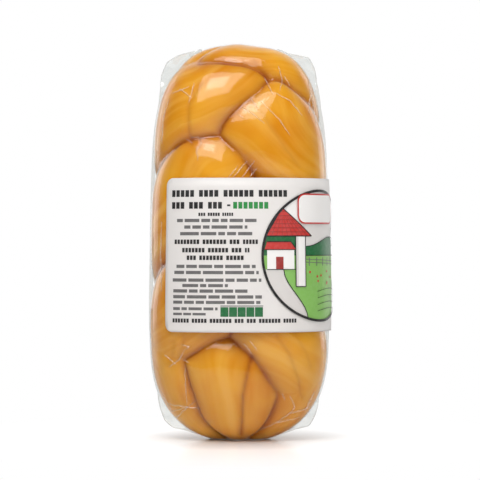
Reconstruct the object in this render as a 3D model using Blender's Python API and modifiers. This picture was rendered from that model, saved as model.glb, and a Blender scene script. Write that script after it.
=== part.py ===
"""A braided provolone in clear vacuum film, with a paper label round its middle.

Three strands of cheese were plaited, pressed into a loaf and shrink-packed. The
sealed pack is one solid, out to the outside of its film, and it stands on one end.
Metres, +Z up, front towards -Y; the origin is the middle of the flat foot.
"""

import math

import bmesh
import bpy
import numpy as np
from mathutils.kdtree import KDTree

MM = 0.001

# The loaf, over its film
HEIGHT = 160.0 * MM
WIDTH = 75.2 * MM
DEPTH = 61.6 * MM
TAPER = 0.07                    # share by which the top is narrower than the foot
PRESSED_FOOT = 1.5 * MM         # how much of the round end is pressed flat
PLAN_POWER = 2.4                # squareness of the cross-section, 2 is an ellipse
TOP_POWERS = (2.8, 4.2)         # roundness of the top end, across and along
FOOT_POWERS = (2.05, 4.8)       # the same for the foot

# The plait, in a straightened loaf: heights run along the skin from the foot up
SWING_X = 19.0 * MM             # how far a strand swings sideways
SWING_Y = 14.0 * MM             # and to the front and back
CROSSINGS = (190, 162, 153.5, 127.5, 105, 83, 62, 42.5, 24, -12, -60)
FIRST_CROSSING = -2
CROSSING_LAG = 0.5
SWAY = 9.0 * MM                 # the plait leans to the right near the top
SWAY_FROM, SWAY_TO = 147.0 * MM, 167.0 * MM
CROWN_FROM, CROWN_TO = 170.0 * MM, 186.0 * MM
CROWN = ((12, 12), (-4, -16), (-14, 6))     # where the strands end at the top
TAIL_FROM, TAIL_TO = 68.0 * MM, 40.0 * MM
TAIL = ((-25.5, -3), (18, 0), (-4, -12))    # and where they hang at the foot

# Hand pulls on the plait's front: place (x, z), pull right and up, and reach, in millimetres
PULLS = (((12, 143), (4.5, 3.8), 12), ((-9.5, 123), (-1.5, -0.5), 12))
WAVER = 0.4 * MM                # how much the strands' sides waver

# The relief that the plait gives the skin
SEAM_DEPTH = 3.0 * MM
SEAM_REACH = 8.5 * MM
CROWN_RISE = 0.4 * MM          # lifts the strands' crowns back to the full girth
INSIDE = 0.9                    # depth at which the nearest strand is judged
POLE_FADE = 0.35                # the relief fades out inside this share of the radius

ROUND = 64                      # facets round the loaf
RINGS = 52                      # and from end to end

# Loose film corners, flat in the XZ plane, as points (x, z) in millimetres
FIN_THICKNESS = 0.8 * MM
FINS = {
    "top_left": ((-20, 151), (-24.5, 154.5), (-30, 151.8), (-33.4, 145), (-33.8, 134), (-28, 130)),
    "top_right": ((18, 152), (24, 154.8), (29.2, 152.6), (31.2, 147), (32.6, 134), (27, 130)),
    "foot_left": ((-28, 26), (-33.6, 22), (-33.2, 15), (-29.8, 11), (-25.6, 6.4), (-17, 9)),
    "foot_right": ((28, 26), (33.8, 22), (33.0, 15), (31.2, 11), (26, 7.6), (17, 7)),
}

# The label, by its distance round the loaf from the front middle
LABEL_START = -31.0 * MM
LABEL_LENGTH = 132.0 * MM
LABEL_FOOT = 44.2 * MM
LABEL_TOP = 105.1 * MM
LABEL_CORNER = 3.2 * MM
LABEL_THICKNESS = 0.3 * MM
LABEL_GAP = 0.45 * MM
LABEL_CELLS = (30, 14)

CHEESE_COLOUR = (0.72, 0.33, 0.03, 1.0)
PAPER_COLOUR = (0.80, 0.78, 0.76, 1.0)


def ease(value):
    """0 to 1 with a soft start and stop."""
    value = np.clip(value, 0.0, 1.0)
    return value * value * (3.0 - 2.0 * value)


def girth(height):
    """Share of the full radius at a height, from the two rounded ends."""
    half = (HEIGHT + PRESSED_FOOT) / 2
    level = (height + PRESSED_FOOT) / half - 1.0
    across, along = TOP_POWERS if level > 0 else FOOT_POWERS
    return max(0.0, 1.0 - min(1.0, abs(level)) ** along) ** (1.0 / across)


def meridian(steps=1200):
    """Heights, girths and lengths along the skin, from pole to pole."""
    half = (HEIGHT + PRESSED_FOOT) / 2
    turn = np.linspace(-math.pi / 2, math.pi / 2, steps)
    heights = half - PRESSED_FOOT - half * np.cos(turn + math.pi / 2)
    girths = np.array([girth(height) for height in heights])
    radius = (WIDTH + DEPTH) / 4
    pieces = np.hypot(np.diff(girths) * radius, np.diff(heights))
    lengths = np.concatenate([[0.0], np.cumsum(pieces)])
    return heights, girths, lengths


def plan(angle):
    """Point of the full cross-section in a direction."""
    c, s = math.cos(angle), math.sin(angle)
    reach = (abs(c) ** PLAN_POWER + abs(s) ** PLAN_POWER) ** (-1.0 / PLAN_POWER)
    return WIDTH / 2 * c * reach, DEPTH / 2 * s * reach


def strand_lines(skin, step=0.02):
    """Centre lines of the three strands, as rows of (x, y, length along the skin)."""
    heights, girths, lengths = skin
    levels = np.array(CROSSINGS) * MM
    along = np.interp(levels, heights, lengths)
    along = np.where(levels < 0, levels, along)
    along = np.where(levels > HEIGHT, lengths[-1] + levels - HEIGHT, along)
    number = np.arange(len(levels)) + FIRST_CROSSING
    phase = np.arange(number[0], number[-1], step)
    height = np.interp(phase, number, along)
    soften = np.hanning(31)
    padded = np.pad(height, 15, mode="reflect", reflect_type="odd")
    height = np.convolve(padded, soften / soften.sum(), "valid")
    tail = ease((TAIL_FROM - height) / (TAIL_FROM - TAIL_TO))
    crown = ease((height - CROWN_FROM) / (CROWN_TO - CROWN_FROM))
    lean = SWAY * ease((height - SWAY_FROM) / (SWAY_TO - SWAY_FROM))
    lines = []
    for strand in range(3):
        turn = (phase - CROSSING_LAG) * math.pi / 3 + strand * 2 * math.pi / 3
        x = SWING_X * np.sin(turn) + lean
        y = -SWING_Y * np.sin(2 * turn)
        x = x + tail * (TAIL[strand][0] * MM - x) + crown * (CROWN[strand][0] * MM - x)
        y = y + tail * (TAIL[strand][1] * MM - y) + crown * (CROWN[strand][1] * MM - y)
        lines.append(np.stack([x, y, height], axis=1))
    return lines


def strand_trees(skin):
    """One search tree for each strand."""
    trees = []
    for line in strand_lines(skin):
        tree = KDTree(len(line))
        for index, point in enumerate(line):
            tree.insert(point, index)
        tree.balance()
        trees.append(tree)
    return trees


def shift(x, y, z):
    """How far the plait lies right and up of its lines at a place: a slow waver, and the pulls."""
    right = WAVER * (np.sin(z / (4.3 * MM) + x / (9 * MM)) + 0.6 * np.sin(z / (2.4 * MM) + 2))
    up = WAVER * (np.sin(x / (4.1 * MM) + z / (10 * MM) + 1) + 0.6 * np.sin(x / (2.3 * MM)))
    for (at_x, at_z), (pull_x, pull_z), reach in PULLS:
        away = ((x - at_x * MM) ** 2 + (z - at_z * MM) ** 2) / (reach * MM) ** 2
        near = np.exp(-away) * (y < 0)
        right = right + pull_x * MM * near
        up = up + pull_z * MM * near
    return right, up


def relief(angle, along, place, trees):
    """How deep the skin lies below the plain loaf: about nothing on a crown, most on a seam."""
    x, y = plan(angle)
    right, up = shift(*place)
    point = (x * INSIDE - right, y * INSIDE, along - up)
    reach = sorted(tree.find(point)[2] for tree in trees)
    dips = [SEAM_DEPTH * math.exp((reach[0] - other) / SEAM_REACH) for other in reach[1:]]
    return sum(dips) - CROWN_RISE


def new_object(name, mesh, material, collection):
    thing = bpy.data.objects.new(name, mesh)
    mesh.materials.clear()
    mesh.materials.append(material)
    collection.objects.link(thing)
    return thing


def make_material(name, colour, roughness):
    material = bpy.data.materials.new(name)
    material.use_nodes = True
    shader = material.node_tree.nodes["Principled BSDF"]
    shader.inputs["Base Color"].default_value = colour
    shader.inputs["Roughness"].default_value = roughness
    return material


def loaf_mesh():
    """The plaited loaf, from a sphere whose rings are spread evenly along the skin."""
    skin = meridian()
    heights, girths, lengths = skin
    trees = strand_trees(skin)
    bm = bmesh.new()
    bmesh.ops.create_uvsphere(bm, u_segments=ROUND, v_segments=RINGS, radius=1.0)
    depths = []
    for vert in bm.verts:
        angle = math.atan2(vert.co.y, vert.co.x)
        latitude = math.asin(max(-1.0, min(1.0, vert.co.z)))
        along = (latitude / math.pi + 0.5) * lengths[-1]
        height = np.interp(along, lengths, heights)
        size = np.interp(along, lengths, girths)
        x, y = plan(angle)
        narrow = size * (1.0 - TAPER * height / HEIGHT)
        vert.co = (x * narrow, y * narrow, height)
        depths.append(relief(angle, along, vert.co, trees) * ease(size / POLE_FADE))
    bm.normal_update()
    for vert, depth in zip(bm.verts, depths):
        vert.co -= vert.normal * depth
    geometry = bm.verts[:] + bm.edges[:] + bm.faces[:]
    cut = bmesh.ops.bisect_plane(
        bm, geom=geometry, dist=1e-7, plane_co=(0, 0, 0), plane_no=(0, 0, -1), clear_outer=True
    )
    rim = [item for item in cut["geom_cut"] if isinstance(item, bmesh.types.BMEdge)]
    bmesh.ops.contextual_create(bm, geom=rim)
    bmesh.ops.recalc_face_normals(bm, faces=bm.faces)
    mesh = bpy.data.meshes.new("sealed_pack")
    bm.to_mesh(mesh)
    bm.free()
    return mesh


def fin_object(name, outline, material, cutters):
    """A loose corner of film: a flat outline with a thickness, as a mesh."""
    curve = bpy.data.curves.new(name, "CURVE")
    curve.dimensions = "2D"
    curve.fill_mode = "BOTH"
    curve.extrude = FIN_THICKNESS / 2
    spline = curve.splines.new("POLY")
    spline.points.add(len(outline) - 1)
    for point, (x, z) in zip(spline.points, outline):
        point.co = (x * MM, z * MM, 0.0, 1.0)
    spline.use_cyclic_u = True
    drawn = bpy.data.objects.new(name, curve)
    drawn.rotation_euler.x = math.pi / 2
    cutters.objects.link(drawn)
    bpy.context.view_layer.update()
    evaluated = drawn.evaluated_get(bpy.context.evaluated_depsgraph_get())
    mesh = bpy.data.meshes.new_from_object(evaluated)
    bm = bmesh.new()
    bm.from_mesh(mesh)
    bmesh.ops.remove_doubles(bm, verts=bm.verts, dist=1e-6)
    bmesh.ops.recalc_face_normals(bm, faces=bm.faces)
    bm.to_mesh(mesh)
    bm.free()
    fin = new_object(name + "_fin", mesh, material, cutters)
    fin.matrix_world = drawn.matrix_world
    fin.hide_render = True
    fin.display_type = "WIRE"
    bpy.data.objects.remove(drawn)
    return fin


def label_angles(steps=720):
    """Distances round the loaf at the label's middle height, and their directions."""
    height = (LABEL_FOOT + LABEL_TOP) / 2
    size = girth(height) * (1.0 - TAPER * height / HEIGHT)
    angles = np.linspace(-math.pi, math.pi, steps) - math.pi / 2
    outline = np.array([plan(angle) for angle in angles]) * size
    pieces = np.hypot(*np.diff(outline, axis=0).T)
    round_way = np.concatenate([[0.0], np.cumsum(pieces)])
    return round_way - round_way[-1] / 2, angles


def label_mesh():
    """A flat rounded rectangle, bent round the loaf."""
    bm = bmesh.new()
    bmesh.ops.create_grid(bm, x_segments=LABEL_CELLS[0], y_segments=LABEL_CELLS[1], size=0.5)
    length, tall = LABEL_LENGTH, LABEL_TOP - LABEL_FOOT
    bmesh.ops.scale(bm, vec=(length, tall, 1.0), verts=bm.verts)
    corners = [vert for vert in bm.verts if len(vert.link_edges) == 2]
    bmesh.ops.bevel(
        bm, geom=corners, offset=LABEL_CORNER, segments=4, profile=0.5, affect="VERTICES", material=-1
    )
    distances, angles = label_angles()
    for vert in bm.verts:
        around = LABEL_START + length / 2 + vert.co.x
        height = LABEL_FOOT + tall / 2 + vert.co.y
        angle = float(np.interp(around, distances, angles))
        x, y = plan(angle)
        narrow = girth(height) * (1.0 - TAPER * height / HEIGHT)
        vert.co = (x * narrow, y * narrow, height)
    bmesh.ops.recalc_face_normals(bm, faces=bm.faces)
    bm.normal_update()
    if sum(face.normal.dot(face.calc_center_median().xy.to_3d()) for face in bm.faces) < 0:
        bmesh.ops.reverse_faces(bm, faces=bm.faces)
        bm.normal_update()
    for vert in bm.verts:
        vert.co += vert.normal * LABEL_GAP
    mesh = bpy.data.meshes.new("label")
    bm.to_mesh(mesh)
    bm.free()
    return mesh


def build():
    for thing in list(bpy.data.objects):
        bpy.data.objects.remove(thing)
    parts = bpy.data.collections.new("braided_provolone_pack")
    cutters = bpy.data.collections.new("cutters")
    bpy.context.scene.collection.children.link(parts)
    bpy.context.scene.collection.children.link(cutters)
    cheese = make_material("smoked_cheese_under_film", CHEESE_COLOUR, 0.25)
    paper = make_material("coated_label_paper", PAPER_COLOUR, 0.5)

    pack = new_object("sealed_pack", loaf_mesh(), cheese, parts)
    for name, outline in FINS.items():
        join = pack.modifiers.new(name, "BOOLEAN")
        join.operation = "UNION"
        join.solver = "EXACT"
        join.object = fin_object(name, outline, cheese, cutters)
    pack.data.shade_smooth()
    pack.data.set_sharp_from_angle(angle=math.radians(40))

    label = new_object("label", label_mesh(), paper, parts)
    wall = label.modifiers.new("thickness", "SOLIDIFY")
    wall.thickness = LABEL_THICKNESS
    wall.offset = 1.0
    label.data.shade_smooth()
    label.data.set_sharp_from_angle(angle=math.radians(40))


build()
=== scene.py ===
"""The looks of a braided provolone in clear vacuum film, with a paper label round it.

The cheese is one braided, pressed loaf. The film is a second skin that bridges the
seams, with its wrinkles as fine ridges on it and loose edges down both sides. The label
is paper, bent round the loaf, and its print is plain shapes of ink just above the paper.
"""

import math
import random

import bmesh
import bpy
import numpy as np
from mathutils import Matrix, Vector, noise
from mathutils.bvhtree import BVHTree
from mathutils.kdtree import KDTree


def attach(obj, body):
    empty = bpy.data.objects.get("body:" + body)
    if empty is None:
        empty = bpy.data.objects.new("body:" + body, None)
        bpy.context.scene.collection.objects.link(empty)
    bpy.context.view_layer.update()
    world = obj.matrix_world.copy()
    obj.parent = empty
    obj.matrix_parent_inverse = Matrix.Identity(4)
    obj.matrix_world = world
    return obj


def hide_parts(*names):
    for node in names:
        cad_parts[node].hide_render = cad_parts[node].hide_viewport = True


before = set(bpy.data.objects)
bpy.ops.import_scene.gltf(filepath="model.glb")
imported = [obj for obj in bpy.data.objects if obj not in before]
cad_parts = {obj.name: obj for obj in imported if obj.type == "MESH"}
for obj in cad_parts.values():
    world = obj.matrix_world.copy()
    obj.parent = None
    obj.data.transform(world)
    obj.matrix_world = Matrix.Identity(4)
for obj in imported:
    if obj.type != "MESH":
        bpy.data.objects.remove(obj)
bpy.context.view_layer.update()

MM = 0.001
scene = bpy.context.scene

# ---------------------------------------------------------------- the loaf's form

HEIGHT = 160.0 * MM
WIDTH = 75.2 * MM
DEPTH = 61.6 * MM
TAPER = 0.07                    # share by which the top is narrower than the foot
PRESSED_FOOT = 1.5 * MM         # how much of the round end is pressed flat
PLAN_POWER = 2.4                # squareness of the cross-section, 2 is an ellipse
TOP_POWERS = (2.8, 4.2)         # roundness of the top end, across and along
FOOT_POWERS = (2.05, 4.8)       # the same for the foot

SWING_X = 19.0 * MM             # how far a strand swings sideways
SWING_Y = 14.0 * MM             # and to the front and back
CROSSINGS = (190, 162, 153.5, 127.5, 105, 83, 62, 42.5, 24, -12, -60)
FIRST_CROSSING = -2
CROSSING_LAG = 0.5
SWAY = 9.0 * MM                 # the plait leans to the right near the top
SWAY_FROM, SWAY_TO = 147.0 * MM, 167.0 * MM
CROWN_FROM, CROWN_TO = 170.0 * MM, 186.0 * MM
CROWN = ((12, 12), (-4, -16), (-14, 6))     # where the strands end at the top
TAIL_FROM, TAIL_TO = 68.0 * MM, 40.0 * MM
TAIL = ((-25.5, -3), (18, 0), (-4, -12))    # and where they hang at the foot

# Pulls on the plait's front: place (x, z), pull right and up, and reach, in millimetres
PULLS = (((12, 143), (4.5, 3.8), 12), ((-9.5, 123), (-1.5, -0.5), 12))
WAVER = 0.4 * MM                # how much the strands' sides waver

SEAM_DEPTH = 3.0 * MM           # the dip towards a seam, as the film shows it
SEAM_REACH = 8.5 * MM
CROWN_RISE = 0.4 * MM
INSIDE = 0.9                    # depth at which the nearest strand is judged
POLE_FADE = 0.35                # the relief fades out inside this share of the radius

FILM_GAP = 0.35 * MM            # cheese to film
CREASE_DEPTH = 1.5 * MM         # the sharp line in a seam, under the film
CREASE_REACH = 1.1 * MM
FOLD_DEPTH = 0.5 * MM           # the fold line that runs along each strand
FOLD_REACH = 0.8 * MM

# Fold lines on the front: the points (x, z) each runs through, in millimetres, and its depth
FOLDS = (
    (((-15.9, 143), (-20.8, 134), (-21.6, 123), (-20.4, 119)), 0.7),
    (((4.2, 137), (18.3, 117), (24.4, 109)), 0.4),
    (((15, 42.5), (20, 36), (24.4, 24.6), (25.6, 17)), 0.6),
    (((5, 34), (3.8, 29.5), (1.4, 18.5), (0.6, 2)), 1.5),
    (((-22.8, 42), (-25.2, 34)), 0.5),
    (((-27, 40), (-29.5, 30)), 0.4),
    (((6, 154), (11, 149), (14, 146)), 0.5),
    (((22, 44), (27, 36), (29, 30)), 0.35),
)


def ease(value):
    """0 to 1 with a soft start and stop."""
    value = np.clip(value, 0.0, 1.0)
    return value * value * (3.0 - 2.0 * value)


def girth(height):
    """Share of the full radius at each height, from the two rounded ends."""
    half = (HEIGHT + PRESSED_FOOT) / 2
    level = (np.asarray(height) + PRESSED_FOOT) / half - 1.0
    size = np.minimum(1.0, np.abs(level))
    top = (1.0 - size ** TOP_POWERS[1]) ** (1.0 / TOP_POWERS[0])
    foot = (1.0 - size ** FOOT_POWERS[1]) ** (1.0 / FOOT_POWERS[0])
    return np.where(level > 0, top, foot)


def plan(angle):
    """Points of the full cross-section in each direction."""
    c, s = np.cos(angle), np.sin(angle)
    reach = (np.abs(c) ** PLAN_POWER + np.abs(s) ** PLAN_POWER) ** (-1.0 / PLAN_POWER)
    return WIDTH / 2 * c * reach, DEPTH / 2 * s * reach


def meridian(steps=1200):
    """Heights, girths and lengths along the skin, from pole to pole."""
    half = (HEIGHT + PRESSED_FOOT) / 2
    turn = np.linspace(-math.pi / 2, math.pi / 2, steps)
    heights = half - PRESSED_FOOT - half * np.cos(turn + math.pi / 2)
    girths = girth(heights)
    pieces = np.hypot(np.diff(girths) * (WIDTH + DEPTH) / 4, np.diff(heights))
    return heights, girths, np.concatenate([[0.0], np.cumsum(pieces)])


HEIGHTS, GIRTHS, LENGTHS = meridian()


def strand_lines(step=0.02):
    """Centre lines of the three strands, as rows of (x, y, length along the skin)."""
    levels = np.array(CROSSINGS) * MM
    along = np.interp(levels, HEIGHTS, LENGTHS)
    along = np.where(levels < 0, levels, along)
    along = np.where(levels > HEIGHT, LENGTHS[-1] + levels - HEIGHT, along)
    number = np.arange(len(levels)) + FIRST_CROSSING
    phase = np.arange(number[0], number[-1], step)
    height = np.interp(phase, number, along)
    soften = np.hanning(31)
    padded = np.pad(height, 15, mode="reflect", reflect_type="odd")
    height = np.convolve(padded, soften / soften.sum(), "valid")
    tail = ease((TAIL_FROM - height) / (TAIL_FROM - TAIL_TO))
    crown = ease((height - CROWN_FROM) / (CROWN_TO - CROWN_FROM))
    lean = SWAY * ease((height - SWAY_FROM) / (SWAY_TO - SWAY_FROM))
    lines = []
    for strand in range(3):
        turn = (phase - CROSSING_LAG) * math.pi / 3 + strand * 2 * math.pi / 3
        x = SWING_X * np.sin(turn) + lean
        y = -SWING_Y * np.sin(2 * turn)
        x = x + tail * (TAIL[strand][0] * MM - x) + crown * (CROWN[strand][0] * MM - x)
        y = y + tail * (TAIL[strand][1] * MM - y) + crown * (CROWN[strand][1] * MM - y)
        lines.append(np.stack([x, y, height], axis=1))
    return lines


LINES = strand_lines()
TREES = []
for line in LINES:
    tree = KDTree(len(line))
    for index, point in enumerate(line):
        tree.insert(point, index)
    tree.balance()
    TREES.append(tree)


def shift(x, y, z):
    """How far the plait lies right and up of its lines at a place: a slow waver, and the pulls."""
    right = WAVER * (np.sin(z / (4.3 * MM) + x / (9 * MM)) + 0.6 * np.sin(z / (2.4 * MM) + 2))
    up = WAVER * (np.sin(x / (4.1 * MM) + z / (10 * MM) + 1) + 0.6 * np.sin(x / (2.3 * MM)))
    for (at_x, at_z), (pull_x, pull_z), reach in PULLS:
        away = ((x - at_x * MM) ** 2 + (z - at_z * MM) ** 2) / (reach * MM) ** 2
        near = np.exp(-away) * (y < 0)
        right = right + pull_x * MM * near
        up = up + pull_z * MM * near
    return right, up


class Skin:
    """Where each vertex of a sphere lies on the plain loaf, and which strand is under it."""

    def __init__(self, bm):
        unit = np.array([vert.co for vert in bm.verts])
        self.angle = np.arctan2(unit[:, 1], unit[:, 0])
        latitude = np.arcsin(np.clip(unit[:, 2], -1.0, 1.0))
        self.along = (latitude / math.pi + 0.5) * LENGTHS[-1]
        self.height = np.interp(self.along, LENGTHS, HEIGHTS)
        self.size = np.interp(self.along, LENGTHS, GIRTHS)
        self.fade = ease(self.size / POLE_FADE)
        x, y = plan(self.angle)
        narrow = self.size * (1.0 - TAPER * self.height / HEIGHT)
        place = np.stack([x * narrow, y * narrow, self.height], axis=1)
        for vert, spot in zip(bm.verts, place):
            vert.co = spot
        bm.normal_update()
        right, up = shift(*place.T)
        self.judge(np.stack([x * INSIDE - right, y * INSIDE, self.along - up], axis=1))

    def judge(self, points):
        """Distances to the strands, nearest first, and the place across the nearest one."""
        found = [[tree.find(point) for point in points] for tree in TREES]
        reach = np.array([[hit[2] for hit in row] for row in found])
        index = np.array([[hit[1] for hit in row] for row in found])
        nearest = reach.argmin(axis=0)
        every = np.arange(len(points))
        self.reach = np.sort(reach, axis=0)
        self.seam = self.reach[1] - self.reach[0]
        self.strand = nearest
        at = index[nearest, every]
        lines = np.array(LINES)
        last = lines.shape[1] - 1
        centre = lines[nearest, at]
        run = lines[nearest, np.minimum(at + 1, last)] - lines[nearest, np.maximum(at - 1, 0)]
        run /= np.linalg.norm(run, axis=1)[:, None]
        out = points * (1.0, 1.0, 0.0)
        out /= np.linalg.norm(out, axis=1)[:, None] + 1e-9
        side = np.cross(run, out)
        side /= np.linalg.norm(side, axis=1)[:, None] + 1e-9
        self.across = ((points - centre) * side).sum(axis=1)
        self.run = at * 0.5 * MM

    def relief(self, depth=SEAM_DEPTH, reach=SEAM_REACH):
        """How deep the skin lies below the plain loaf: most on a seam."""
        dips = [depth * np.exp((self.reach[0] - other) / reach) for other in self.reach[1:]]
        return (sum(dips) - CROWN_RISE) * self.fade


# ---------------------------------------------------------------- small helpers

def linear(hexcode):
    """sRGB hex to the linear values that a shader takes."""
    parts = [int(hexcode[i:i + 2], 16) / 255 for i in (1, 3, 5)]
    curve = [p / 12.92 if p <= 0.04045 else ((p + 0.055) / 1.055) ** 2.4 for p in parts]
    return (*curve, 1.0)


def node(tree, kind, settings=None, **links):
    """Adds a node: settings by attribute or input name, links by input name or number."""
    made = tree.nodes.new(kind)
    for key, value in (settings or {}).items():
        if isinstance(key, str) and hasattr(made, key):
            setattr(made, key, value)
        else:
            made.inputs[key].default_value = value
    for key, source in links.items():
        socket = made.inputs[int(key[1:])] if key[1:].isdigit() else made.inputs[key.replace("_", " ")]
        tree.links.new(source, socket)
    return made


def new_material(name):
    """An empty material and its node tree."""
    material = bpy.data.materials.new(name)
    material.use_nodes = True
    material.node_tree.nodes.clear()
    return material, material.node_tree


def surface(tree, shader):
    """Ends a material's tree in its output."""
    node(tree, "ShaderNodeOutputMaterial", Surface=shader)


def make_piece(name, bm, material):
    """A finished mesh as a piece of the object."""
    mesh = bpy.data.meshes.new(name)
    bm.to_mesh(mesh)
    bm.free()
    mesh.materials.append(material)
    mesh.shade_smooth()
    piece = bpy.data.objects.new(name, mesh)
    scene.collection.objects.link(piece)
    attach(piece, "root")
    return piece


# ---------------------------------------------------------------- materials

def cheese_material():
    """Smoked provolone rind: stretched curd, so faint streaks run along each strand.

    It gives the eye a warm golden body, with painted shade that makes it browner in the seams and folds.
    """
    material, tree = new_material("smoked_provolone_rind")
    place = node(tree, "ShaderNodeTexCoord").outputs["Object"]
    strand = node(tree, "ShaderNodeUVMap", {"uv_map": "strand"}).outputs["UV"]
    clouds = node(tree, "ShaderNodeTexNoise", {"Scale": 45.0, "Detail": 2.0}, Vector=place)
    fibre_map = node(tree, "ShaderNodeMapping", {"Scale": (260.0, 30.0, 1.0)}, Vector=strand)
    fibres = node(tree, "ShaderNodeTexNoise", {"Scale": 1.0, "Detail": 3.0}, Vector=fibre_map.outputs[0])
    seams = node(tree, "ShaderNodeAttribute", {"attribute_name": "seam"})

    cloud_range = node(tree, "ShaderNodeMapRange", {1: 0.35, 2: 0.65}, Value=clouds.outputs[0])
    body = node(
        tree, "ShaderNodeMix", {"data_type": "RGBA", 6: linear(GOLD), 7: linear(AMBER)},
        _0=cloud_range.outputs[0],
    )
    fibre_range = node(tree, "ShaderNodeMapRange", {1: 0.42, 2: 0.68, 4: 0.55}, Value=fibres.outputs[0])
    streaked = node(
        tree, "ShaderNodeMix", {"data_type": "RGBA", 7: linear(STRAW)},
        _0=fibre_range.outputs[0], _6=body.outputs[2],
    )
    # Painted shade: the seam attribute darkens the rind towards seams and folds.
    seam_shaded = node(
        tree, "ShaderNodeMix", {"data_type": "RGBA", 7: linear(PAINTED_SEAM_SHADE)},
        _0=seams.outputs["Fac"], _6=streaked.outputs[2],
    )
    bump = node(
        tree, "ShaderNodeBump", {"Strength": 0.15, "Distance": 0.2 * MM}, Height=fibres.outputs[0],
    )
    gloss = node(tree, "ShaderNodeMapRange", {1: 0.3, 2: 0.7, 3: 0.38, 4: 0.55}, Value=clouds.outputs[0])
    shader = node(
        tree, "ShaderNodeBsdfPrincipled",
        {
            "Subsurface Weight": 0.15,
            "Subsurface Radius": (1.0, 0.45, 0.12),
            "Subsurface Scale": 2.5 * MM,
            "IOR": 1.45,
            "Specular IOR Level": 0.15,
        },
        Base_Color=seam_shaded.outputs[2], Roughness=gloss.outputs[0], Normal=bump.outputs[0],
    )
    surface(tree, shader.outputs[0])
    return material


def sheen_share(tree):
    """Share of light that clear film mirrors: a few parts in a hundred, more at a glancing angle.

    It is the same from inside and outside, so light reaches what the film covers.
    """
    facing = node(tree, "ShaderNodeLayerWeight", {"Blend": 0.5}).outputs["Facing"]
    steep = node(tree, "ShaderNodeMath", {"operation": "POWER", 1: 5.0}, _0=facing)
    return node(
        tree, "ShaderNodeMath", {"operation": "MULTIPLY_ADD", 1: 0.9, 2: 0.045}, _0=steep.outputs[0]
    ).outputs[0]


def film_surface(tree, body, roughness):
    """The film's reflections over what shows through it."""
    shine = node(tree, "ShaderNodeBsdfGlossy", {"Color": linear("#FFFFFF"), "Roughness": roughness})
    mixed = node(
        tree, "ShaderNodeMixShader",
        _0=sheen_share(tree), _1=body.outputs[0], _2=shine.outputs[0],
    )
    surface(tree, mixed.outputs[0])


def film_material():
    """Shrink film, blown polyethylene: clear, very smooth, with soft bright reflections."""
    material, tree = new_material("shrunk_polyethylene_film")
    clear = node(tree, "ShaderNodeBsdfTransparent", {"Color": linear("#FFFFFF")})
    film_surface(tree, clear, 0.1)
    return material


def loose_film_material():
    """The same film where it hangs free and doubled: still clear, but creased and hazy, the haze a grey
    that is partly painted shade, most at the rim.
    """
    material, tree = new_material("creased_polyethylene_film")
    rim = node(tree, "ShaderNodeAttribute", {"attribute_name": "rim"})
    haze = node(tree, "ShaderNodeMapRange", {3: 0.05, 4: 0.42}, Value=rim.outputs["Fac"])
    clear = node(tree, "ShaderNodeBsdfTransparent", {"Color": linear("#F7F8F7")})
    # Partly the doubled film's real haze, partly painted shade: this grey stands in for the dimmer room
    # that the loose film mirrors.
    white = node(tree, "ShaderNodeBsdfDiffuse", {"Color": linear("#D4D6D2")})
    body = node(tree, "ShaderNodeMixShader", _0=haze.outputs[0], _1=clear.outputs[0], _2=white.outputs[0])
    film_surface(tree, body, 0.1)
    return material


def wrinkled_film_material():
    """The same film pinched into a fine fold: it whitens along the fold and catches the light."""
    material, tree = new_material("pinched_polyethylene_film")
    clear = node(tree, "ShaderNodeBsdfTransparent", {"Color": linear("#FFFFFF")})
    white = node(tree, "ShaderNodeBsdfDiffuse", {"Color": linear("#F4E9DA")})
    body = node(tree, "ShaderNodeMixShader", {0: 0.22}, _1=clear.outputs[0], _2=white.outputs[0])
    film_surface(tree, body, 0.18)
    return material


def paper_material():
    """Coated label paper: off-white, nearly smooth, with a low sheen and faint mottling."""
    material, tree = new_material("coated_label_paper")
    place = node(tree, "ShaderNodeTexCoord").outputs["Object"]
    mottle = node(tree, "ShaderNodeTexNoise", {"Scale": 90.0, "Detail": 3.0}, Vector=place)
    fibre = node(tree, "ShaderNodeTexNoise", {"Scale": 1800.0, "Detail": 2.0}, Vector=place)
    tone = node(
        tree, "ShaderNodeMix", {"data_type": "RGBA", 6: linear(PAPER), 7: linear(PAPER_SHADE)},
        _0=mottle.outputs[0],
    )
    bump = node(tree, "ShaderNodeBump", {"Strength": 0.1, "Distance": 0.05 * MM}, Height=fibre.outputs[0])
    shader = node(
        tree, "ShaderNodeBsdfPrincipled", {"Roughness": 0.42, "IOR": 1.48},
        Base_Color=tone.outputs[2], Normal=bump.outputs[0],
    )
    surface(tree, shader.outputs[0])
    return material


def ink_material(name, colour):
    """Offset ink on coated paper: flat colour that thins a little here and there."""
    material, tree = new_material(name)
    place = node(tree, "ShaderNodeTexCoord").outputs["Object"]
    thin = node(tree, "ShaderNodeTexNoise", {"Scale": 700.0, "Detail": 2.0}, Vector=place)
    amount = node(tree, "ShaderNodeMapRange", {1: 0.3, 2: 0.8, 4: 0.05}, Value=thin.outputs[0])
    tone = node(
        tree, "ShaderNodeMix", {"data_type": "RGBA", 6: linear(colour), 7: linear(PAPER)},
        _0=amount.outputs[0],
    )
    shader = node(
        tree, "ShaderNodeBsdfPrincipled", {"Roughness": 0.4, "IOR": 1.5}, Base_Color=tone.outputs[2],
    )
    surface(tree, shader.outputs[0])
    return material


GOLD = "#E9A526"
AMBER = "#D98A0E"
STRAW = "#F2BC55"
# painted shade colour for the rind's seams and folds
PAINTED_SEAM_SHADE = "#A4551A"
PAPER = "#E9E5E2"
PAPER_SHADE = "#E2DDD9"

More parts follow.
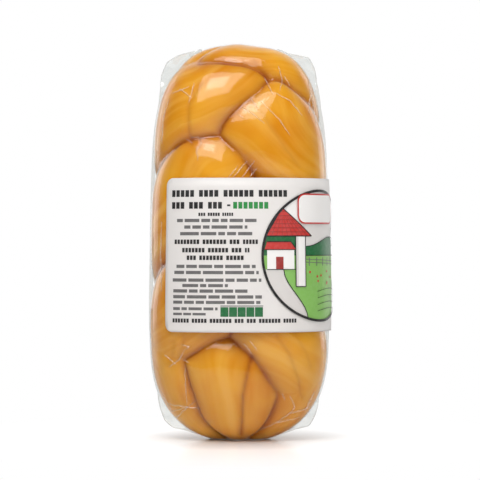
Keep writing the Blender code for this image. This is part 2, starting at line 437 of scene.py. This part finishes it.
CHEESE = cheese_material()
FILM = film_material()
LOOSE_FILM = loose_film_material()
WRINKLED_FILM = wrinkled_film_material()
PAPER_STOCK = paper_material()
INKS = {
    "black": ink_material("black_ink", "#1C1A1B"),
    "grey": ink_material("grey_ink", "#6A6867"),
    "green": ink_material("green_ink", "#1F8A3C"),
    "forest": ink_material("forest_green_ink", "#1B6B3A"),
    "meadow": ink_material("meadow_green_ink", "#86BE5C"),
    "red": ink_material("red_ink", "#C8322C"),
    "brick": ink_material("brick_red_ink", "#9E2B26"),
    "white": ink_material("white_ink", "#F4F1EE"),
    "stone": ink_material("stone_grey_ink", "#DAD5D1"),
}


# ---------------------------------------------------------------- cheese

def line_profile(place, points, reach, power=1.0):
    """How near each place on the front is to a line through (x, z) points: 1 on it, then fading."""
    x, z = place[:, 0], place[:, 2]
    near = np.full(len(place), 1.0)
    for (x0, z0), (x1, z1) in zip(points, points[1:]):
        way = np.array([x1 - x0, z1 - z0]) * MM
        off_x, off_z = x - x0 * MM, z - z0 * MM
        share = np.clip((off_x * way[0] + off_z * way[1]) / (way @ way), 0.0, 1.0)
        near = np.minimum(near, np.hypot(off_x - share * way[0], off_z - share * way[1]))
    return np.exp(-(near / reach) ** power) * (place[:, 1] < 0)


SHADE_LINE_REACH = 1.1 * MM           # reach of the painted dark line of shade in a seam
SHADE_SPREAD_REACH = 4.5 * MM         # reach of the softer painted shade beside it
SHADE_PATCH_SIZE = 9 * MM          # size of the patches where the painted shade line is heavier


def braided_cheese(around=288, rings=240):
    """The loaf under the film, with a crease in each seam and fine folds along the strands."""
    bm = bmesh.new()
    bmesh.ops.create_uvsphere(bm, u_segments=around, v_segments=rings, radius=1.0)
    skin = Skin(bm)
    place = np.array([vert.co for vert in bm.verts])
    crease = CREASE_DEPTH * np.exp(-skin.seam / CREASE_REACH) * skin.fade
    wander = 3.0 * MM * np.sin(skin.run / (17.0 * MM) + skin.strand * 2.1)
    fold = FOLD_DEPTH * np.exp(-np.abs(skin.across - wander) / FOLD_REACH) * ease(place[:, 1] / (8 * MM))
    fold *= ease(skin.seam / (3.0 * MM)) * skin.fade
    for points, deep in FOLDS:
        fold = np.maximum(fold, deep * MM * line_profile(place, points, FOLD_REACH))
    depth = skin.relief() + FILM_GAP + crease + fold
    # Painted shade in the creases: a dark line in each seam, patchy in strength, a softer spread beside it,
    # and more over each fold's depth, kept in the seam attribute for the rind's colour.
    uneven = np.array([0.75 + 0.8 * noise.noise(Vector(spot) / SHADE_PATCH_SIZE) for spot in place])
    dark_line = uneven * 0.85 * np.exp(-skin.seam / SHADE_LINE_REACH)
    soft_seam_shade = 0.4 * np.exp(-skin.seam / SHADE_SPREAD_REACH)
    painted_seam_shade = dark_line + soft_seam_shade + 0.5 * fold / MM
    seam_layer = bm.verts.layers.float.new("seam")
    uv_layer = bm.loops.layers.uv.new("strand")
    uv = np.stack([skin.across, skin.run + skin.strand * 0.7], axis=1)
    for index, vert in enumerate(bm.verts):
        vert.index = index
        vert.co -= vert.normal * float(depth[index])
        vert.co.z = max(vert.co.z, FILM_GAP)
        vert[seam_layer] = float(min(1.0, painted_seam_shade[index]))
    for face in bm.faces:
        for loop in face.loops:
            loop[uv_layer].uv = uv[loop.vert.index]
    return make_piece("braided_cheese", bm, CHEESE)


# ---------------------------------------------------------------- film

# Wrinkles of the film on the front: the points (x, z) each runs through, in millimetres, and its height
WRINKLES = (
    (((-5, 104.5), (-0.5, 110)), 0.35), (((-3, 104.5), (3, 112)), 0.4), (((0.5, 104.5), (6, 112)), 0.35),
    (((4, 105.5), (7, 109)), 0.25),
    (((-19.5, 121), (-16.5, 121.5), (-15, 119), (-17, 116), (-16.5, 112)), 0.5),
    (((-21, 120.5), (-18.5, 119)), 0.35),
    (((1, 133), (6, 130), (10, 126.5)), 0.35), (((-1, 130.5), (2, 128.5)), 0.3),
    (((4, 137.5), (7, 133)), 0.35), (((8, 136), (16, 128), (20, 122)), 0.3),
    (((10, 145), (12.5, 140), (13.5, 138)), 0.4), (((15.5, 150), (17, 144), (16, 140)), 0.35),
    (((18, 146), (20, 142)), 0.4), (((14, 139), (20, 136), (25, 130)), 0.3),
    (((-27, 139), (-20, 141.5)), 0.35), (((-24, 141), (-19, 137)), 0.3), (((-18, 143), (-20, 135)), 0.3),
    (((27.5, 147), (28.5, 139), (27.5, 131)), 0.5), (((28.5, 143), (29.5, 134), (30.5, 126)), 0.45),
    (((-23, 39), (-19.5, 38.5), (-22, 37)), 0.4), (((-22.5, 33), (-20, 32)), 0.35),
    (((-21.6, 30), (-21.4, 22), (-20.8, 14)), 0.45), (((-29, 15), (-20.8, 14), (-15, 13.6)), 0.45),
    (((-26, 8.5), (-20.8, 14), (-17, 17)), 0.45), (((-31.5, 20), (-27, 12), (-20.8, 14)), 0.4),
    (((15, 8), (20, 11.5), (29, 14)), 0.5), (((8, 4.5), (15, 8), (24, 9.5)), 0.45),
    (((20, 19), (22, 14), (20, 11.5)), 0.4), (((17, 20), (18, 17)), 0.5), (((26, 12), (30, 20)), 0.4),
    (((-30, 35), (-25, 31)), 0.3), (((-28, 30), (-24, 33), (-22, 37)), 0.3),
    (((4, 41), (7, 37)), 0.25), (((1.5, 40), (5, 35.5)), 0.25),
    (((-31, 119), (-30.5, 129), (-28, 137)), 0.35), (((-31, 60), (-31.5, 75), (-31, 88)), 0.3),
)
WRINKLE_HALF = 0.28 * MM        # half a wrinkle's width


def film_wrinkles(film, step=0.5 * MM):
    """Fine folds standing on the tight film: each a tapered ridge that follows the film under it."""
    ground = BVHTree.FromObject(film, bpy.context.evaluated_depsgraph_get())
    bm = bmesh.new()
    for points, tall in WRINKLES:
        path = np.array(points) * MM
        along = np.concatenate([[0.0], np.cumsum(np.hypot(*np.diff(path, axis=0).T))])
        cells = max(6, int(along[-1] / step))
        made = bmesh.ops.create_grid(bm, x_segments=cells, y_segments=4, size=0.5)["verts"]
        for vert in made:
            share, across = vert.co.x + 0.5, vert.co.y * 2
            x, z = (np.interp(share * along[-1], along, path[:, axis]) for axis in (0, 1))
            ahead, behind = (
                [np.interp(spot, along, path[:, axis]) for axis in (0, 1)]
                for spot in (share * along[-1] + step, share * along[-1] - step)
            )
            way = Vector((ahead[0] - behind[0], 0, ahead[1] - behind[1])).normalized()
            taper = math.sin(math.pi * min(1.0, max(0.0, share))) ** 0.6
            side = Vector((-way.z, 0, way.x)) * across * WRINKLE_HALF * (0.3 + 0.7 * taper)
            spot = Vector((share * along[-1] / (2 * MM), tall * 9, x / (20 * MM)))
            bend_aside = 0.25 * MM * noise.noise(spot)
            start = Vector((x + side.x - way.z * bend_aside, -0.1, z + side.z + way.x * bend_aside))
            hit, normal, _, _ = ground.ray_cast(start, Vector((0, 1, 0)))
            if hit is None:
                hit, normal, _, _ = ground.find_nearest(Vector((start.x, 0, start.z)))
            crest = (1 - across ** 2) * taper * tall * MM
            vert.co = hit + normal * (crest + 0.02 * MM)
    bmesh.ops.recalc_face_normals(bm, faces=bm.faces)
    return make_piece("film_wrinkles", bm, WRINKLED_FILM)


def vacuum_film(around=320, rings=290):
    """The tight film over the loaf, in place of the whole solid pack."""
    bm = bmesh.new()
    bmesh.ops.create_uvsphere(bm, u_segments=around, v_segments=rings, radius=1.0)
    skin = Skin(bm)
    place = np.array([vert.co for vert in bm.verts])
    soft = np.array([noise.noise(Vector(spot) / (9 * MM)) for spot in place])
    pulled = np.array([noise.noise(Vector(spot) / (2.6 * MM)) for spot in place])
    near_seam = np.exp(-skin.seam / (3.0 * MM)) * skin.fade
    rise = 0.08 * MM * soft + 0.3 * MM * near_seam * np.maximum(pulled, 0.0) - skin.relief()
    for index, vert in enumerate(bm.verts):
        vert.co += vert.normal * float(rise[index])
        vert.co.z = max(vert.co.z, 0.0)
    piece = make_piece("vacuum_film", bm, FILM)
    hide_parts("sealed_pack")
    return piece


# Width of the loose film beyond the loaf's side, at each height, in millimetres
LEFT_EDGE = ((2, 0.1), (5, 1.6), (7, 3.6), (10, 4.0), (14, 2.6), (19, 0.8), (40, 0.0), (110, 0.1),
             (135, 0.4), (141, 1.6), (146, 3.6), (150, 4.4), (153, 3.0), (156, 1.0), (158, 0.1))
RIGHT_EDGE = ((2, 0.1), (5, 1.4), (8, 4.0), (12, 2.8), (17, 0.7), (40, -0.2), (110, -0.1),
              (134, 0.3), (143, 1.8), (148, 3.8), (151.5, 4.6), (154, 2.0), (156, 0.4), (158, 0.1))
EDGE_ROOT = 1.6 * MM            # how far the loose film reaches in under the skin


def film_edge(name, side, widths, along_cells=260, across_cells=12):
    """The bag's flattened side: a ribbon out from the loaf's side, wider at both ends."""
    bm = bmesh.new()
    bmesh.ops.create_grid(bm, x_segments=along_cells, y_segments=across_cells, size=0.5)
    ends = np.interp([widths[0][0] * MM, widths[-1][0] * MM], HEIGHTS, LENGTHS)
    stations = np.array(widths) * MM
    rim = bm.verts.layers.float.new("rim")
    for vert in bm.verts:
        along = ends[0] + (vert.co.x + 0.5) * (ends[1] - ends[0])
        out = vert.co.y + 0.5
        here, there = [
            np.array([
                side * WIDTH / 2 * np.interp(spot, LENGTHS, GIRTHS)
                * (1 - TAPER * np.interp(spot, LENGTHS, HEIGHTS) / HEIGHT),
                np.interp(spot, LENGTHS, HEIGHTS),
            ])
            for spot in (along - 0.5 * MM, along + 0.5 * MM)
        ]
        way = (there - here) / np.linalg.norm(there - here)
        normal = np.array([way[1], -way[0]]) * side
        width = np.interp((here[1] + there[1]) / 2, stations[:, 0], stations[:, 1])
        reach = -EDGE_ROOT + out * (width + EDGE_ROOT)
        spot = (here + there) / 2 + normal * reach
        loose = max(0.0, reach)
        wave = noise.noise(Vector((along / (4.5 * MM), loose / (7 * MM), side * 3.0)))
        vert.co = (spot[0], loose * 0.8 * wave, max(spot[1], 0.2 * MM))
        # rim: 1 at the outer edge of a wide flap, where the loose film's grey haze with its painted shade
        # is strongest.
        vert[rim] = max(0.0, 1.0 - (width - loose) / (0.45 * MM)) if width > 1.5 * MM else 0.3
    piece = make_piece(name, bm, LOOSE_FILM)
    wall = piece.modifiers.new("double film", "SOLIDIFY")
    wall.thickness = 0.12 * MM
    wall.offset = 0.0
    return piece


# ---------------------------------------------------------------- label and print

LABEL_START = -31.0 * MM        # distances round the loaf, from the front middle
LABEL_LENGTH = 132.0 * MM
LABEL_FOOT = 44.2 * MM
LABEL_TOP = 105.1 * MM
LABEL_CORNER = 3.2 * MM
LABEL_LIFT = 0.55 * MM
INK_LIFT = 0.04 * MM            # each layer of ink lies this much higher
BEND_STEP = 1.5 * MM
LABEL_TALL = LABEL_TOP - LABEL_FOOT

PICTURE = (65.8, 30.7)          # the round picture's middle, from the label's top left
PICTURE_RADIUS = 26.3


def way_round(steps=1440):
    """Distances round the loaf at the label's middle height, and their directions."""
    height = (LABEL_FOOT + LABEL_TOP) / 2
    size = girth(height) * (1.0 - TAPER * height / HEIGHT)
    angles = np.linspace(-math.pi, math.pi, steps) - math.pi / 2
    x, y = plan(angles)
    pieces = np.hypot(np.diff(x), np.diff(y)) * size
    round_way = np.concatenate([[0.0], np.cumsum(pieces)])
    return round_way - round_way[-1] / 2, angles


ROUND_WAY, ROUND_ANGLES = way_round()


def bend(bm, lift, step=BEND_STEP):
    """Bends a flat drawing round the loaf. Flat x and y run from the label's top left."""
    xs = [vert.co.x for vert in bm.verts]
    for place in np.arange(math.ceil(min(xs) / step) * step, max(xs), step):
        geometry = bm.verts[:] + bm.edges[:] + bm.faces[:]
        bmesh.ops.bisect_plane(bm, geom=geometry, dist=1e-7, plane_co=(place, 0, 0), plane_no=(1, 0, 0))
    for vert in bm.verts:
        around = LABEL_START + vert.co.x
        height = LABEL_TOP + vert.co.y
        angle = np.interp(around, ROUND_WAY, ROUND_ANGLES)
        x, y = plan(angle)
        ahead_x, ahead_y = plan(angle + 0.001)
        out = Vector((ahead_y - y, x - ahead_x, 0.0)).normalized()
        narrow = girth(height) * (1.0 - TAPER * height / HEIGHT)
        vert.co = Vector((x * narrow, y * narrow, height)) + out * lift


def flat_sheet(bm, left, drop, width, tall, corner=0.0, segments=4):
    """A rectangle of the drawing, in millimetres from the label's top left."""
    made = bmesh.ops.create_grid(bm, x_segments=1, y_segments=1, size=0.5)["verts"]
    bmesh.ops.scale(bm, vec=(width * MM, tall * MM, 1.0), verts=made)
    bmesh.ops.translate(bm, vec=((left + width / 2) * MM, -(drop + tall / 2) * MM, 0.0), verts=made)
    if corner:
        bmesh.ops.bevel(
            bm, geom=made, offset=corner * MM, segments=segments, profile=0.5,
            affect="VERTICES", material=-1,
        )


def label_paper():
    """The label itself: a sheet with rounded corners, bent round the loaf."""
    bm = bmesh.new()
    flat_sheet(bm, 0, 0, LABEL_LENGTH / MM, LABEL_TALL / MM, LABEL_CORNER / MM, segments=8)
    for place in np.arange(4 * MM, LABEL_TALL, 4 * MM):
        geometry = bm.verts[:] + bm.edges[:] + bm.faces[:]
        bmesh.ops.bisect_plane(bm, geom=geometry, dist=1e-7, plane_co=(0, -place, 0), plane_no=(0, 1, 0))
    bend(bm, LABEL_LIFT)
    bmesh.ops.recalc_face_normals(bm, faces=bm.faces)
    piece = make_piece("paper_label", bm, PAPER_STOCK)
    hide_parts("label")
    wall = piece.modifiers.new("paper thickness", "SOLIDIFY")
    wall.thickness = 0.15 * MM
    wall.offset = -1.0
    return piece


def print_piece(name, bm, ink, layer):
    """One ink's share of the print. A higher layer lies on top of the lower ones."""
    bend(bm, LABEL_LIFT + INK_LIFT * layer)
    return make_piece(name, bm, INKS[ink])


# Text rows: drop from the label's top, height, start, length, ink, all in millimetres
TEXT_ROWS = (
    (4.5, 3.3, 3.0, 47.5, "black"), (9.2, 3.3, 3.0, 21.5, "black"), (9.2, 3.3, 28.5, 15.2, "green"),
    (13.6, 1.6, 14.7, 14.0, "black"), (16.0, 1.6, 5.5, 32.2, "grey"), (18.6, 1.6, 8.8, 25.3, "grey"),
    (21.2, 1.6, 7.0, 29.0, "grey"), (24.1, 2.2, 4.5, 34.0, "black"), (27.4, 2.2, 8.0, 27.2, "black"),
    (30.4, 2.2, 10.0, 22.9, "black"), (34.1, 1.6, 5.5, 31.8, "grey"), (36.5, 1.6, 4.5, 34.0, "grey"),
    (39.5, 1.6, 3.8, 35.7, "grey"), (41.7, 1.5, 8.2, 18.3, "grey"), (43.8, 1.6, 4.1, 30.0, "grey"),
    (46.1, 1.6, 4.1, 35.6, "grey"), (48.3, 1.5, 4.1, 35.0, "grey"), (50.9, 1.4, 4.1, 18.4, "grey"),
    (53.1, 1.2, 4.1, 14.6, "grey"), (55.3, 2.0, 3.8, 50.1, "black"),
)
DASH = (10.5, 0.7, 26.1, 1.3)


def text_marks():
    """Rows of plain marks where small print would be: no letters, only their rhythm."""
    draw = random.Random(7)
    sheets = {ink: bmesh.new() for ink in ("black", "grey", "green")}
    for drop, tall, start, length, ink in TEXT_ROWS:
        at = start
        bold = ink != "grey"
        while at < start + length - 0.4 * tall:
            word = draw.randint(3, 9) * tall * (0.62 if bold else 0.55)
            word = min(word, start + length - at)
            letters = max(1, round(word / (0.62 * tall))) if bold else 1
            for letter in range(letters):
                pitch = word / letters
                gap = 0.14 * tall if bold else 0.0
                flat_sheet(sheets[ink], at + letter * pitch, drop + 0.1 * tall, pitch - gap, 0.8 * tall)
            at += word + 0.5 * tall
    flat_sheet(sheets["black"], DASH[2], DASH[0], DASH[3], DASH[1])
    for ink, bm in sheets.items():
        print_piece("text_marks_" + ink, bm, ink, 1)


def field(bm, corners):
    """A field of colour, from its corners in millimetres right of and above the picture's middle."""
    verts = [bm.verts.new(((PICTURE[0] + x) * MM, (y - PICTURE[1]) * MM, 0.0)) for x, y in corners]
    bm.faces.new(verts)


def clip_to_picture(bm, sides=72):
    """Trims the drawing to the round picture, one side of a many-sided plane at a time."""
    for step in range(sides):
        turn = 2 * math.pi * step / sides
        out = Vector((math.cos(turn), math.sin(turn), 0.0))
        rim = Vector((PICTURE[0] * MM, -PICTURE[1] * MM, 0.0)) + out * (PICTURE_RADIUS - 0.4) * MM
        geometry = bm.verts[:] + bm.edges[:] + bm.faces[:]
        bmesh.ops.bisect_plane(bm, geom=geometry, dist=1e-8, plane_co=rim, plane_no=out, clear_outer=True)


def hill_tops():
    """Two rounded hills, from the barn's post to the picture's right."""
    return [(x, 5.6 + 1.9 * math.sin(x / 5.2)) for x in np.arange(-8.0, 29.0, 2.0)]


def path_side(top_x, foot_x):
    """One side of a path that bends down to the picture's foot."""
    return [(top_x + (foot_x - top_x) * ease(t), -5.4 - 20 * t) for t in np.linspace(0.0, 1.0, 9)]


PICTURE_FIELDS = (
    ("sky", "white", 1, (((-28, 28), (28, 28), (28, -28), (-28, -28)),)),
    ("hills", "forest", 2, (((-28, 9.2), (-12.5, 8), *hill_tops(), (28, 0), (-28, 0)),)),
    ("meadow", "meadow", 3, (((-28, 0.1), (28, 0.1), (28, -28), (-28, -28)),)),
    ("path", "stone", 4, ((*path_side(-28.0, -24.0), *reversed(path_side(-17.5, -7.0))),)),
    ("shed_wall", "white", 5, (((-24, 2.6), (-13, 2.6), (-13, -5.4), (-24, -5.4)),)),
    ("shed_roof", "red", 6, (((-25, 2.4), (-12, 2.4), (-14.5, 5.6), (-24, 5.6)),)),
    ("shed_door", "brick", 6, (((-20.5, -0.4), (-17.5, -0.4), (-17.5, -5.4), (-20.5, -5.4)),)),
    ("barn_post", "white", 7, (((-12.4, 9), (-8, 9), (-8, -12.2), (-12.4, -12.2)),)),
    ("barn_post_shade", "stone", 8, (((-12.4, 9), (-11.2, 9), (-11.2, -12.2), (-12.4, -12.2)),)),
    ("barn_roof", "red", 9, (((-18, 19), (-5, 7.8), (-24.5, 7.8)),)),
)
BARN_TOP, BARN_LEFT, BARN_RIGHT = (-18, 19), (-24.5, 7.8), (-5, 7.8)


def stroke(bm, points, width):
    """A drawn line through points, as one thin quad for each stretch."""
    for (x0, y0), (x1, y1) in zip(points, points[1:]):
        long = math.hypot(x1 - x0, y1 - y0)
        off_x, off_y = (y0 - y1) / long * width / 2, (x1 - x0) / long * width / 2
        field(bm, (
            (x0 - off_x, y0 - off_y), (x1 - off_x, y1 - off_y),
            (x1 + off_x, y1 + off_y), (x0 + off_x, y0 + off_y),
        ))


def between(start, end, share):
    """The point at this share of the way from start to end."""
    return tuple(a + (b - a) * share for a, b in zip(start, end))


def drawn_lines():
    """The drawing's lines: roof tiles, outlines, a fence, furrows and a few flowers."""
    tiles = bmesh.new()
    for row in range(1, 7):
        share = row / 7
        stroke(tiles, (between(BARN_TOP, BARN_LEFT, share), between(BARN_TOP, BARN_RIGHT, share)), 0.35)
    for column in range(1, 9):
        foot = between(BARN_LEFT, BARN_RIGHT, column / 9)
        stroke(tiles, (between(BARN_TOP, foot, 0.3), between(BARN_TOP, foot, 0.98)), 0.2)

    black = bmesh.new()
    stroke(black, (BARN_LEFT, BARN_TOP, BARN_RIGHT, BARN_LEFT), 0.4)
    for x in (-12.4, -8.0):
        stroke(black, ((x, 7.6), (x, -12.2)), 0.35)
    stroke(black, ((-12.4, -12.2), (-8, -12.2)), 0.35)
    stroke(black, ((-24, 5.6), (-14.5, 5.6), (-12.6, 3.2)), 0.35)
    stroke(black, ((-25, 2.4), (-12.6, 2.4)), 0.3)
    stroke(black, ((-24, -5.4), (-12.6, -5.4)), 0.3)
    stroke(black, hill_tops(), 0.3)
    stroke(black, ((-7.8, 0.1), (26, 0.1)), 0.3)
    stroke(black, path_side(-17.5, -7.0), 0.35)
    for furrow in range(4):
        start = -13.0 - 2.6 * furrow
        stroke(black, [(x, start - 0.012 * (x - 8) ** 2) for x in np.arange(-2.0, 20.0, 3.0)], 0.2)

    fence = bmesh.new()
    for rail in (-1.4, -2.6):
        stroke(fence, ((-7.6, rail), (26, rail - 1.2)), 0.25)
    for post in range(9):
        at = -6 + post * 4
        stroke(fence, ((at, -0.7), (at, -4.0)), 0.45)

    flowers = bmesh.new()
    draw = random.Random(3)
    for _ in range(9):
        x, y = draw.uniform(-6, 12), draw.uniform(-11.5, -5.5)
        made = bmesh.ops.create_circle(flowers, cap_ends=True, radius=0.5 * MM, segments=8)["verts"]
        bmesh.ops.translate(flowers, vec=((PICTURE[0] + x) * MM, (y - PICTURE[1]) * MM, 0.0), verts=made)

    for name, ink, layer, bm in (
        ("roof_tiles", "brick", 10, tiles), ("fence", "grey", 5, fence), ("flowers", "red", 5, flowers),
        ("outlines", "black", 11, black),
    ):
        clip_to_picture(bm)
        print_piece("picture_" + name, bm, ink, layer)


def picture():
    """A made-up farmyard in flat fields of colour, inside a black ring."""
    for name, ink, layer, shapes in PICTURE_FIELDS:
        bm = bmesh.new()
        for corners in shapes:
            field(bm, corners)
        clip_to_picture(bm)
        print_piece("picture_" + name, bm, ink, layer)
    drawn_lines()
    bm = bmesh.new()
    made = bmesh.ops.create_circle(bm, cap_ends=True, radius=PICTURE_RADIUS * MM, segments=96)["verts"]
    bmesh.ops.translate(bm, vec=(PICTURE[0] * MM, -PICTURE[1] * MM, 0.0), verts=made)
    ring = bmesh.ops.inset_region(
        bm, faces=bm.faces[:], thickness=1.0 * MM, use_boundary=True, use_even_offset=True
    )
    bmesh.ops.delete(bm, geom=[face for face in bm.faces if face not in ring["faces"]], context="FACES")
    print_piece("picture_ring", bm, "black", 12)


PLAQUE_WIDTH, PLAQUE_TALL, PLAQUE_CORNER = 23, 12, 3.2
PLAQUE_RISE = 24.6              # its top edge above the picture's middle


def plaque():
    """A blank name plate with a red line round it."""
    for name, ink, layer, size in (("plaque_rim", "red", 13, 0.0), ("plaque_face", "white", 14, 0.6)):
        bm = bmesh.new()
        flat_sheet(
            bm, PICTURE[0] - PLAQUE_WIDTH / 2 + size, PICTURE[1] - PLAQUE_RISE + size,
            PLAQUE_WIDTH - 2 * size, PLAQUE_TALL - 2 * size, PLAQUE_CORNER - size,
        )
        print_piece(name, bm, ink, layer)


def green_code_strip():
    """Five blank green squares in a row, under a thin black line."""
    left, top, pitch = 23.6, 50.9, 3.35
    bm = bmesh.new()
    for cell in range(5):
        flat_sheet(bm, left + cell * pitch, top, 3.1, 3.8)
    print_piece("green_squares", bm, "forest", 1)
    bm = bmesh.new()
    flat_sheet(bm, left, 50.3, 16.6, 0.3)
    print_piece("green_squares_line", bm, "black", 1)


def facts_table():
    """A ruled table of plain marks, on the side away from the front."""
    left, top, width, tall, rows = 96.0, 5.0, 31.0, 50.0, 13
    bm = bmesh.new()
    for row in range(rows + 1):
        flat_sheet(bm, left, top + row * tall / rows, width, 0.25)
    for place in (0.0, 0.62, 1.0):
        flat_sheet(bm, left + place * (width - 0.25), top, 0.25, tall)
    print_piece("facts_table_lines", bm, "black", 1)
    draw = random.Random(11)
    bm = bmesh.new()
    for row in range(rows):
        drop = top + (row + 0.35) * tall / rows
        flat_sheet(bm, left + 1.2, drop, draw.uniform(8, 16), 1.3)
        flat_sheet(bm, left + 0.62 * width + 1.5, drop, draw.uniform(3, 8), 1.3)
    print_piece("facts_table_marks", bm, "grey", 1)


# ---------------------------------------------------------------- room, light and camera

def floor():
    """A white table top, out past the view, with painted shade round the pack's foot."""
    bm = bmesh.new()
    bmesh.ops.create_grid(bm, x_segments=1, y_segments=1, size=3.0)
    mesh = bpy.data.meshes.new("floor")
    bm.to_mesh(mesh)
    bm.free()
    material, tree = new_material("white_table")
    place = node(tree, "ShaderNodeTexCoord").outputs["Object"]
    far = node(tree, "ShaderNodeVectorMath", {"operation": "LENGTH"}, _0=place)
    fade = node(tree, "ShaderNodeMapRange", {1: FLOOR_NEAR, 2: FLOOR_FAR}, Value=far.outputs["Value"])
    seen = node(tree, "ShaderNodeLightPath")
    share = node(
        tree, "ShaderNodeMath", {"operation": "MULTIPLY"},
        _0=fade.outputs[0], _1=seen.outputs["Is Camera Ray"],
    )
    # Painted shade: the camera-only glow is held back near the foot, so the real shadow there reads deeper.
    away = node(
        tree, "ShaderNodeMapRange", {1: SHADE_NEAR, 2: SHADE_FAR, 4: FLOOR_GLOW}, Value=far.outputs["Value"]
    )
    glow = node(
        tree, "ShaderNodeMath", {"operation": "MULTIPLY"},
        _0=away.outputs[0], _1=seen.outputs["Is Camera Ray"],
    )
    shader = node(
        tree, "ShaderNodeBsdfPrincipled",
        {"Base Color": linear("#F4F4F4"), "Roughness": 0.22, "IOR": 1.3, "Emission Color": (1, 1, 1, 1)},
        Emission_Strength=glow.outputs[0],
    )
    white = node(tree, "ShaderNodeEmission", {"Color": (1, 1, 1, 1), "Strength": 1.0})
    both = node(tree, "ShaderNodeMixShader", _0=share.outputs[0], _1=shader.outputs[0], _2=white.outputs[0])
    surface(tree, both.outputs[0])
    mesh.materials.append(material)
    table = bpy.data.objects.new("floor", mesh)
    scene.collection.objects.link(table)


def softbox(name, place, target, size, power, mirrored=True):
    """A white lamp with a flat, wide face. Unless mirrored, no reflection shows it."""
    light = bpy.data.lights.new(name, "AREA")
    light.shape = "RECTANGLE"
    light.size, light.size_y = size
    light.energy = power
    lamp = bpy.data.objects.new(name, light)
    lamp.location = place
    lamp.visible_glossy = mirrored
    lamp.rotation_euler = (Vector(target) - Vector(place)).to_track_quat("-Z", "Y").to_euler()
    scene.collection.objects.link(lamp)


AMBIENT = 0.26                  # even light from all round, on matt surfaces
SHADE_NEAR, SHADE_FAR = 0.02, 0.055      # painted shade: the lift starts only outside this reach, so the table stays darker round the foot
FLOOR_GLOW = 0.36               # lifts the lit table to white, for the camera alone
FLOOR_NEAR, FLOOR_FAR = 0.06, 0.13      # the table fades into the white backdrop


def room():
    """The white room. Reflections see it bright only behind the pack."""
    world = bpy.data.worlds.new("studio")
    scene.world = world
    world.use_nodes = True
    tree = world.node_tree
    tree.nodes.clear()
    way = node(tree, "ShaderNodeTexCoord").outputs["Generated"]
    parts = node(tree, "ShaderNodeSeparateXYZ", Vector=way)
    back = node(tree, "ShaderNodeMapRange", {1: 0.1, 2: 0.7, 3: 0.03, 4: 1.0}, Value=parts.outputs[1])
    ambient = node(tree, "ShaderNodeBackground", {"Color": (1, 1, 1, 1), "Strength": AMBIENT})
    backdrop = node(tree, "ShaderNodeBackground", {"Color": (1, 1, 1, 1)}, Strength=back.outputs[0])
    white = node(tree, "ShaderNodeBackground", {"Color": (1, 1, 1, 1), "Strength": 1.0})
    seen = node(tree, "ShaderNodeLightPath")
    mirrored = node(
        tree, "ShaderNodeMixShader",
        _0=seen.outputs["Is Glossy Ray"], _1=ambient.outputs[0], _2=backdrop.outputs[0],
    )
    mixed = node(
        tree, "ShaderNodeMixShader",
        _0=seen.outputs["Is Camera Ray"], _1=mirrored.outputs[0], _2=white.outputs[0],
    )
    node(tree, "ShaderNodeOutputWorld", Surface=mixed.outputs[0])


LENS = 185.0                    # a long lens, a metre away
EYE = (0.0002, -1.0, 0.0806)    # level with the middle of the pack


def camera():
    """The camera, straight in front of the label."""
    data = bpy.data.cameras.new("camera")
    data.lens = LENS
    data.sensor_width = 36.0
    view = bpy.data.objects.new("camera", data)
    view.location = EYE
    view.rotation_euler = (math.radians(90), 0.0, 0.0)
    scene.collection.objects.link(view)
    scene.camera = view


scene.view_settings.view_transform = "Standard"
camera()
room()
floor()
softbox("key", (-0.12, -0.42, 0.62), (0, 0, 0.09), (0.55, 0.5), 2.6)
softbox("key_core", (-0.125, -0.4, 0.59), (0, 0, 0.09), (0.26, 0.22), 0.75)
softbox("fill", (0.35, -0.7, 0.25), (0, 0, 0.08), (0.6, 0.6), 2.0, mirrored=False)
softbox("left", (-0.5, 0.42, 0.2), (0, 0, 0.08), (0.25, 0.6), 0.5)
softbox("right", (0.5, 0.42, 0.2), (0, 0, 0.08), (0.25, 0.6), 0.5)

braided_cheese()
film_wrinkles(vacuum_film())
film_edge("loose_film_left", -1, LEFT_EDGE)
film_edge("loose_film_right", 1, RIGHT_EDGE)
label_paper()
text_marks()
picture()
plaque()
green_code_strip()
facts_table()
